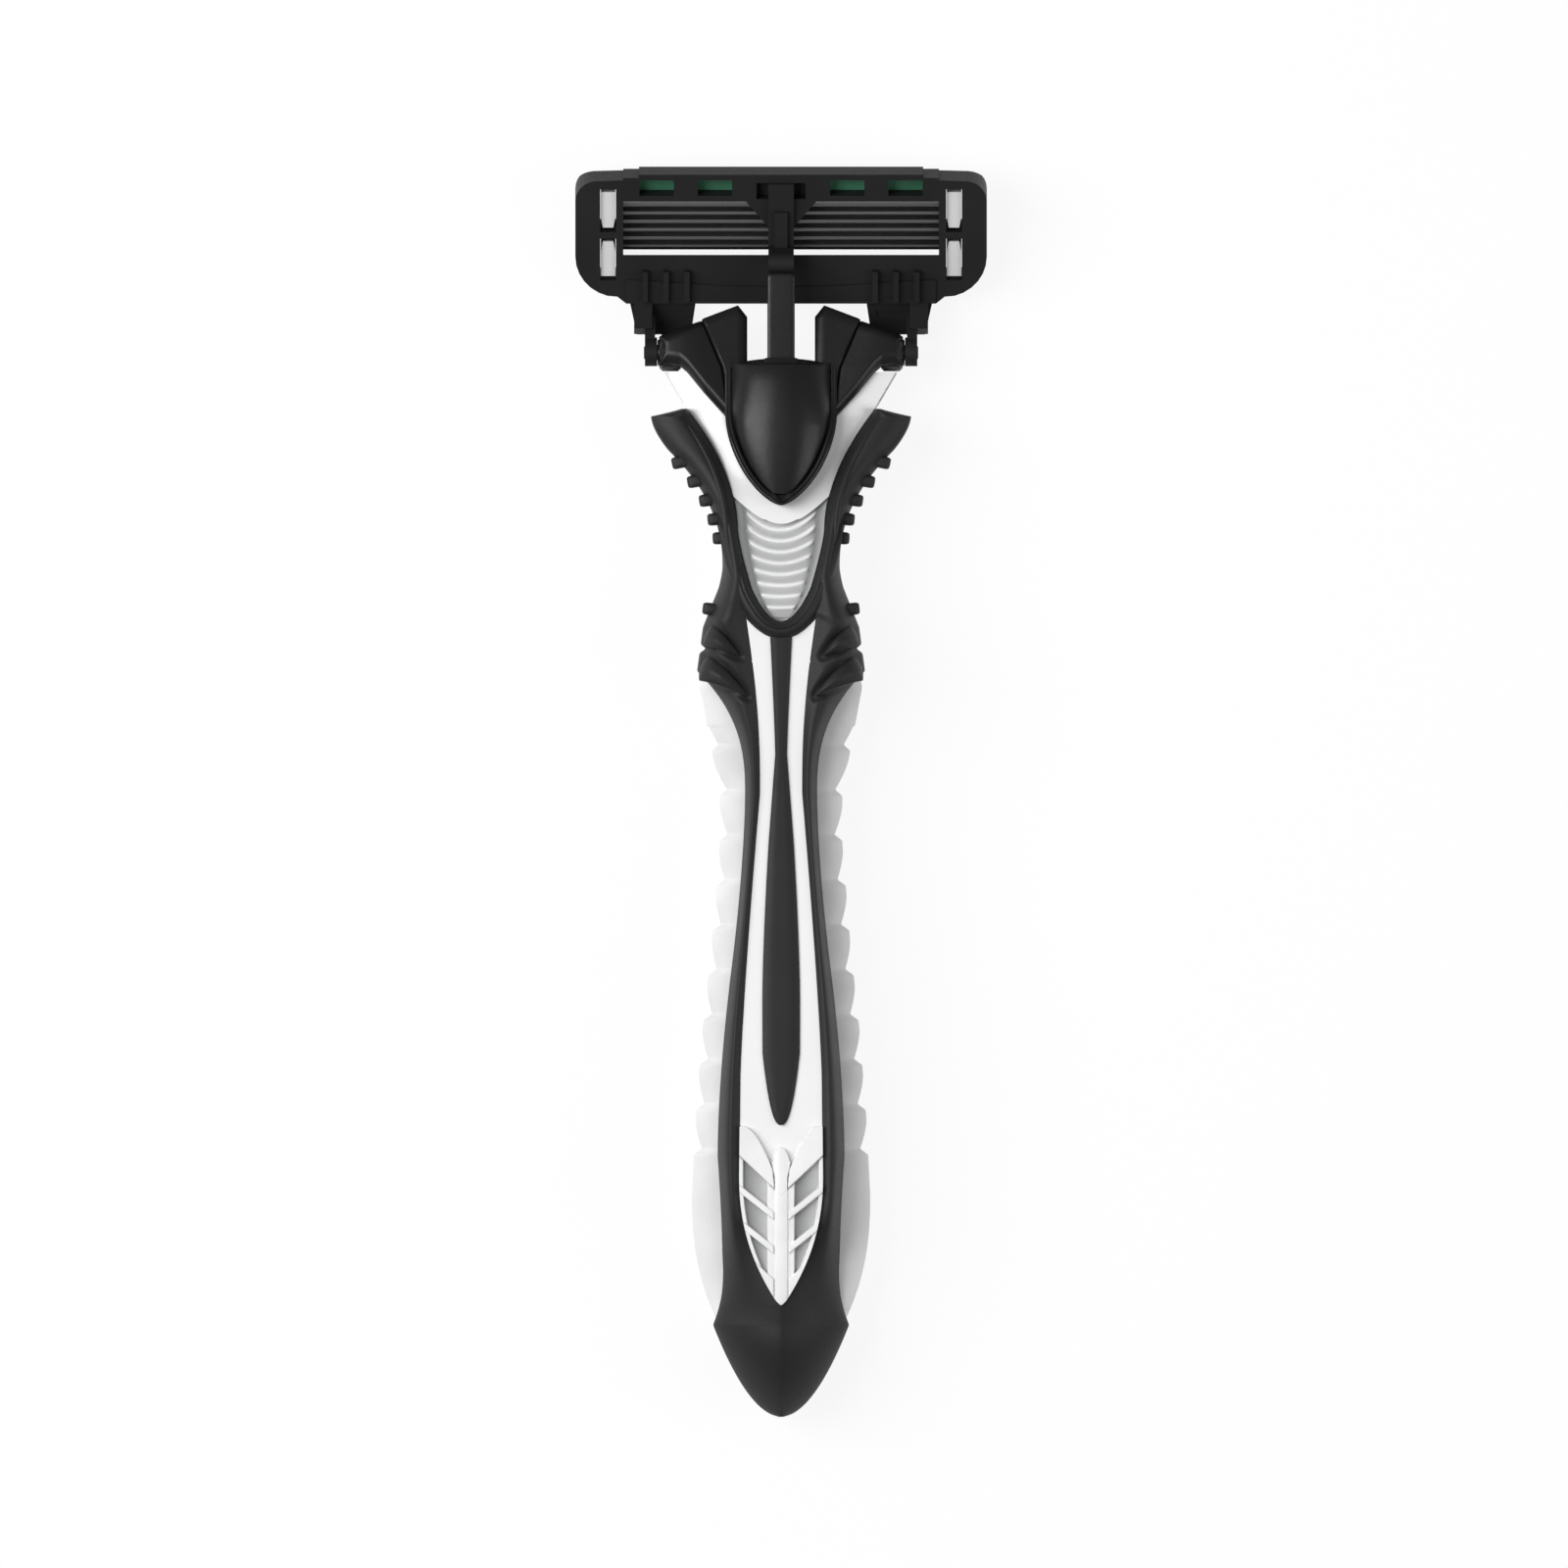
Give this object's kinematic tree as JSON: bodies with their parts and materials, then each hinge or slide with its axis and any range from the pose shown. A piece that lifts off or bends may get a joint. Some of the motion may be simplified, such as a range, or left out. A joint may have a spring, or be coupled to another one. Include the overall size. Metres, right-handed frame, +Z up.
{
  "type": "cartridge razor",
  "caption": "Hand razor with a pivoting multi-blade cartridge on a spring plunger, a sliding release button, and a soft black and white grip.",
  "frame": {"origin": "middle of the bounding box on the floor, with the razor lying on its cartridge guard and back grip", "axes": "+X across the razor, +Y along the handle towards the head, +Z up on the thumb side"},
  "size_m": [0.042, 0.1276, 0.0137],
  "materials": {
    "white_plastic": "gloss",
    "black_rubber": "matte",
    "white_rubber": "matte",
    "clear_rubber": "satin translucent",
    "clear_plastic": "translucent",
    "black_plastic": "satin",
    "spring_steel": "drawn wire",
    "clip_aluminium": "satin",
    "green_strip": "waxy",
    "guard_rubber": "matte",
    "blade_steel": "ground"
  },
  "bodies": {
    "handle": {"handle_core": "white_plastic", "rubber_grip": "black_rubber", "back_grip": "white_rubber", "centre_strip": "black_rubber", "thumb_pad": "clear_rubber", "tail_insert": "clear_plastic", "pivot_yoke": "black_plastic", "button_spring": "spring_steel", "plunger_spring": "spring_steel"},
    "button": {"release_button": "black_plastic"},
    "plunger": {"plunger": "black_plastic"},
    "cartridge": {"cartridge_housing": "black_plastic", "clip_left": "clip_aluminium", "clip_right": "clip_aluminium", "lubricating_strip": "green_strip", "guard_strip": "guard_rubber", "blade_1": "blade_steel", "blade_2": "blade_steel", "blade_3": "blade_steel", "blade_4": "blade_steel", "blade_5": "blade_steel", "blade_6": "blade_steel"}
  },
  "joints": [
    {"name": "cartridge_pivot", "type": "hinge", "parent": "handle", "child": "cartridge", "pos_m": [0, 0.04481, 0.005], "axis": [1, 0, 0], "range_deg": [0, 35], "stiffness_Nm_per_rad": 0.008, "springref_deg": -2.86},
    {"name": "plunger_slide", "type": "slide", "parent": "handle", "child": "plunger", "axis": [0, 1, 0], "range_m": [-0.0036, 0], "deforming": ["plunger_spring"]},
    {"name": "button_slide", "type": "slide", "parent": "handle", "child": "button", "axis": [0, 0.9703, -0.2419], "range_m": [0, 0.002], "stiffness_N_per_m": 300, "deforming": ["button_spring"]}
  ],
  "couplings": [
    {"joint": "plunger_slide", "follows": "cartridge_pivot", "m_per_rad": -0.005808}
  ]
}
